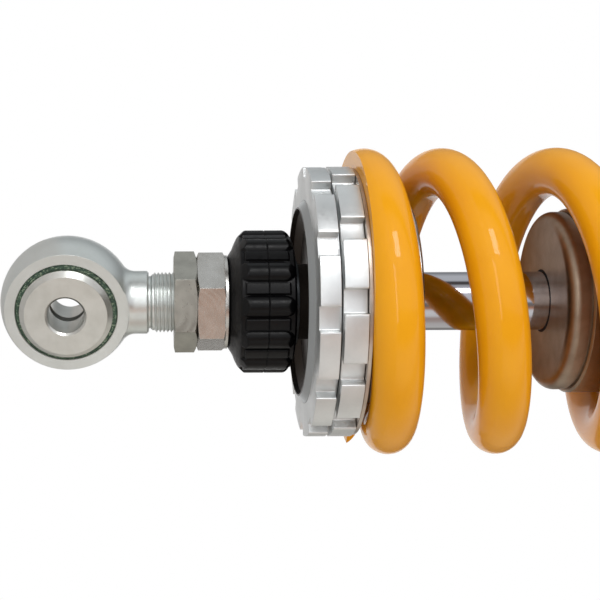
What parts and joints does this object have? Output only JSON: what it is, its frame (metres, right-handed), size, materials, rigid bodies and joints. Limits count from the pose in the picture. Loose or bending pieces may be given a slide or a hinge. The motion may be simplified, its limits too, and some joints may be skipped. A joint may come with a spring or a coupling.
{
  "type": "motorcycle shock absorber",
  "caption": "Coil-over rear shock absorber with an eye at each end, adjustable spring preload and a rebound knob.",
  "frame": {"origin": "centre of the upper eye's bore", "axes": "+Z along the damper from the lower eye to the upper eye; +Y along the bore of each eye"},
  "size_m": [0.0826, 0.0824, 0.3366],
  "materials": {
    "spacer_steel": "turned steel",
    "bearing_steel": "ground bearing steel",
    "spring_steel": "dark spring steel",
    "seal_green": "green fabric-backed seal",
    "eye_aluminium": "satin",
    "valve_brass": "turned brass",
    "black_rubber": "matt",
    "tube_aluminium": "satin",
    "ring_aluminium": "bead-blasted, clear anodised",
    "piston_aluminium": "turned",
    "head_bronze_anodised": "bronze anodised, satin",
    "bush_bronze": "bearing bronze",
    "seal_brown": "matt",
    "spring_yellow": "gloss yellow powder coat",
    "shaft_chrome": "hard chrome, polished",
    "shim_steel": "ground steel",
    "band_bronze": "bronze-filled wear band",
    "nut_steel": "plated steel",
    "cup_steel": "pressed steel",
    "sleeve_anodised": "dark grey anodised",
    "bracket_steel": "milled steel",
    "knob_black": "black, satin",
    "washer_steel": "plain steel"
  },
  "bodies": {
    "upper_mount": {"upper_spacers": "spacer_steel", "upper_bearing_ball": "bearing_steel"},
    "damper_body": {"upper_eye": "eye_aluminium", "upper_bearing_race": "bearing_steel", "upper_circlips": "spring_steel", "upper_seals": "seal_green", "gas_valve": "valve_brass", "cap_o_ring": "black_rubber", "cylinder_tube": "tube_aluminium", "upper_spring_seat": "ring_aluminium", "seat_snap_ring": "spring_steel", "cylinder_head": "head_bronze_anodised", "head_bush": "bush_bronze", "shaft_seal": "seal_brown", "shaft_wiper": "black_rubber", "head_o_ring": "black_rubber", "head_circlip": "spring_steel", "spring": "spring_yellow"},
    "floating_piston": {"floating_piston": "piston_aluminium", "floating_piston_o_ring": "black_rubber"},
    "shaft_assembly": {"damper_shaft": "shaft_chrome", "topout_spacer": "black_rubber", "rebound_shims": "shim_steel", "main_piston": "piston_aluminium", "piston_band": "band_bronze", "compression_shims": "shim_steel", "piston_nut": "nut_steel", "bump_stop": "black_rubber", "bump_stop_cup": "cup_steel", "spring_seat_sleeve": "sleeve_anodised", "shaft_bracket": "bracket_steel", "knob_circlip": "spring_steel"},
    "rebound_knob": {"rebound_knob": "knob_black"},
    "rebound_rod": {"rebound_cross_pin": "shim_steel", "rebound_push_rod": "piston_aluminium", "rebound_needle": "valve_brass"},
    "spring_washer": {"spring_washer": "washer_steel"},
    "preload_ring": {"preload_ring": "ring_aluminium"},
    "preload_lock_ring": {"preload_lock_ring": "ring_aluminium"},
    "lock_nut": {"lock_nut": "nut_steel"},
    "lower_eye": {"lower_eye": "eye_aluminium", "lower_bearing_race": "bearing_steel", "lower_circlips": "spring_steel", "lower_seals": "seal_green"},
    "lower_mount": {"lower_spacers": "spacer_steel", "lower_bearing_ball": "bearing_steel"}
  },
  "joints": [
    {"name": "upper_pivot", "type": "hinge", "parent": "upper_mount", "child": "damper_body", "pos_m": [0, 0, 0], "axis": [0, 1, 0], "continuous": true},
    {"name": "stroke", "type": "slide", "parent": "damper_body", "child": "shaft_assembly", "axis": [0, 0, 1], "range_m": [0, 0.05], "stiffness_N_per_m": 120000, "deforming": ["spring", "bump_stop"]},
    {"name": "gas_piston_travel", "type": "slide", "parent": "damper_body", "child": "floating_piston", "axis": [0, 0, 1], "range_m": [0, 0.0061]},
    {"name": "knob_turn", "type": "hinge", "parent": "shaft_assembly", "child": "rebound_knob", "pos_m": [0, 0, -0.248], "axis": [0, 0, 1], "range_deg": [-360, 360]},
    {"name": "needle_travel", "type": "slide", "parent": "shaft_assembly", "child": "rebound_rod", "axis": [0, 0, 1], "range_m": [-0.001, 0.001]},
    {"name": "preload_travel", "type": "slide", "parent": "shaft_assembly", "child": "spring_washer", "axis": [0, 0, 1], "range_m": [0, 0.009], "deforming": ["spring"]},
    {"name": "preload_ring_turn", "type": "hinge", "parent": "spring_washer", "child": "preload_ring", "pos_m": [0, 0, -0.2263], "axis": [0, 0, 1], "range_deg": [0, 2160]},
    {"name": "lock_ring_turn", "type": "hinge", "parent": "spring_washer", "child": "preload_lock_ring", "pos_m": [0, 0, -0.2328], "axis": [0, 0, 1], "range_deg": [0, 2160]},
    {"name": "lock_nut_turn", "type": "hinge", "parent": "shaft_assembly", "child": "lock_nut", "pos_m": [0, 0, -0.268], "axis": [0, 0, 1], "range_deg": [-360, 360]},
    {"name": "length_adjust", "type": "slide", "parent": "shaft_assembly", "child": "lower_eye", "axis": [0, 0, 1], "range_m": [-0.005, 0.005]},
    {"name": "lower_pivot", "type": "hinge", "parent": "lower_eye", "child": "lower_mount", "pos_m": [0, 0, -0.3], "axis": [0, 1, 0], "continuous": true}
  ],
  "couplings": [
    {"joint": "gas_piston_travel", "follows": "stroke", "ratio": 0.121},
    {"joint": "knob_turn", "follows": "needle_travel", "rad_per_m": 6283},
    {"joint": "preload_ring_turn", "follows": "preload_travel", "rad_per_m": 4188.7},
    {"joint": "lock_ring_turn", "follows": "preload_travel", "rad_per_m": 4188.7}
  ]
}
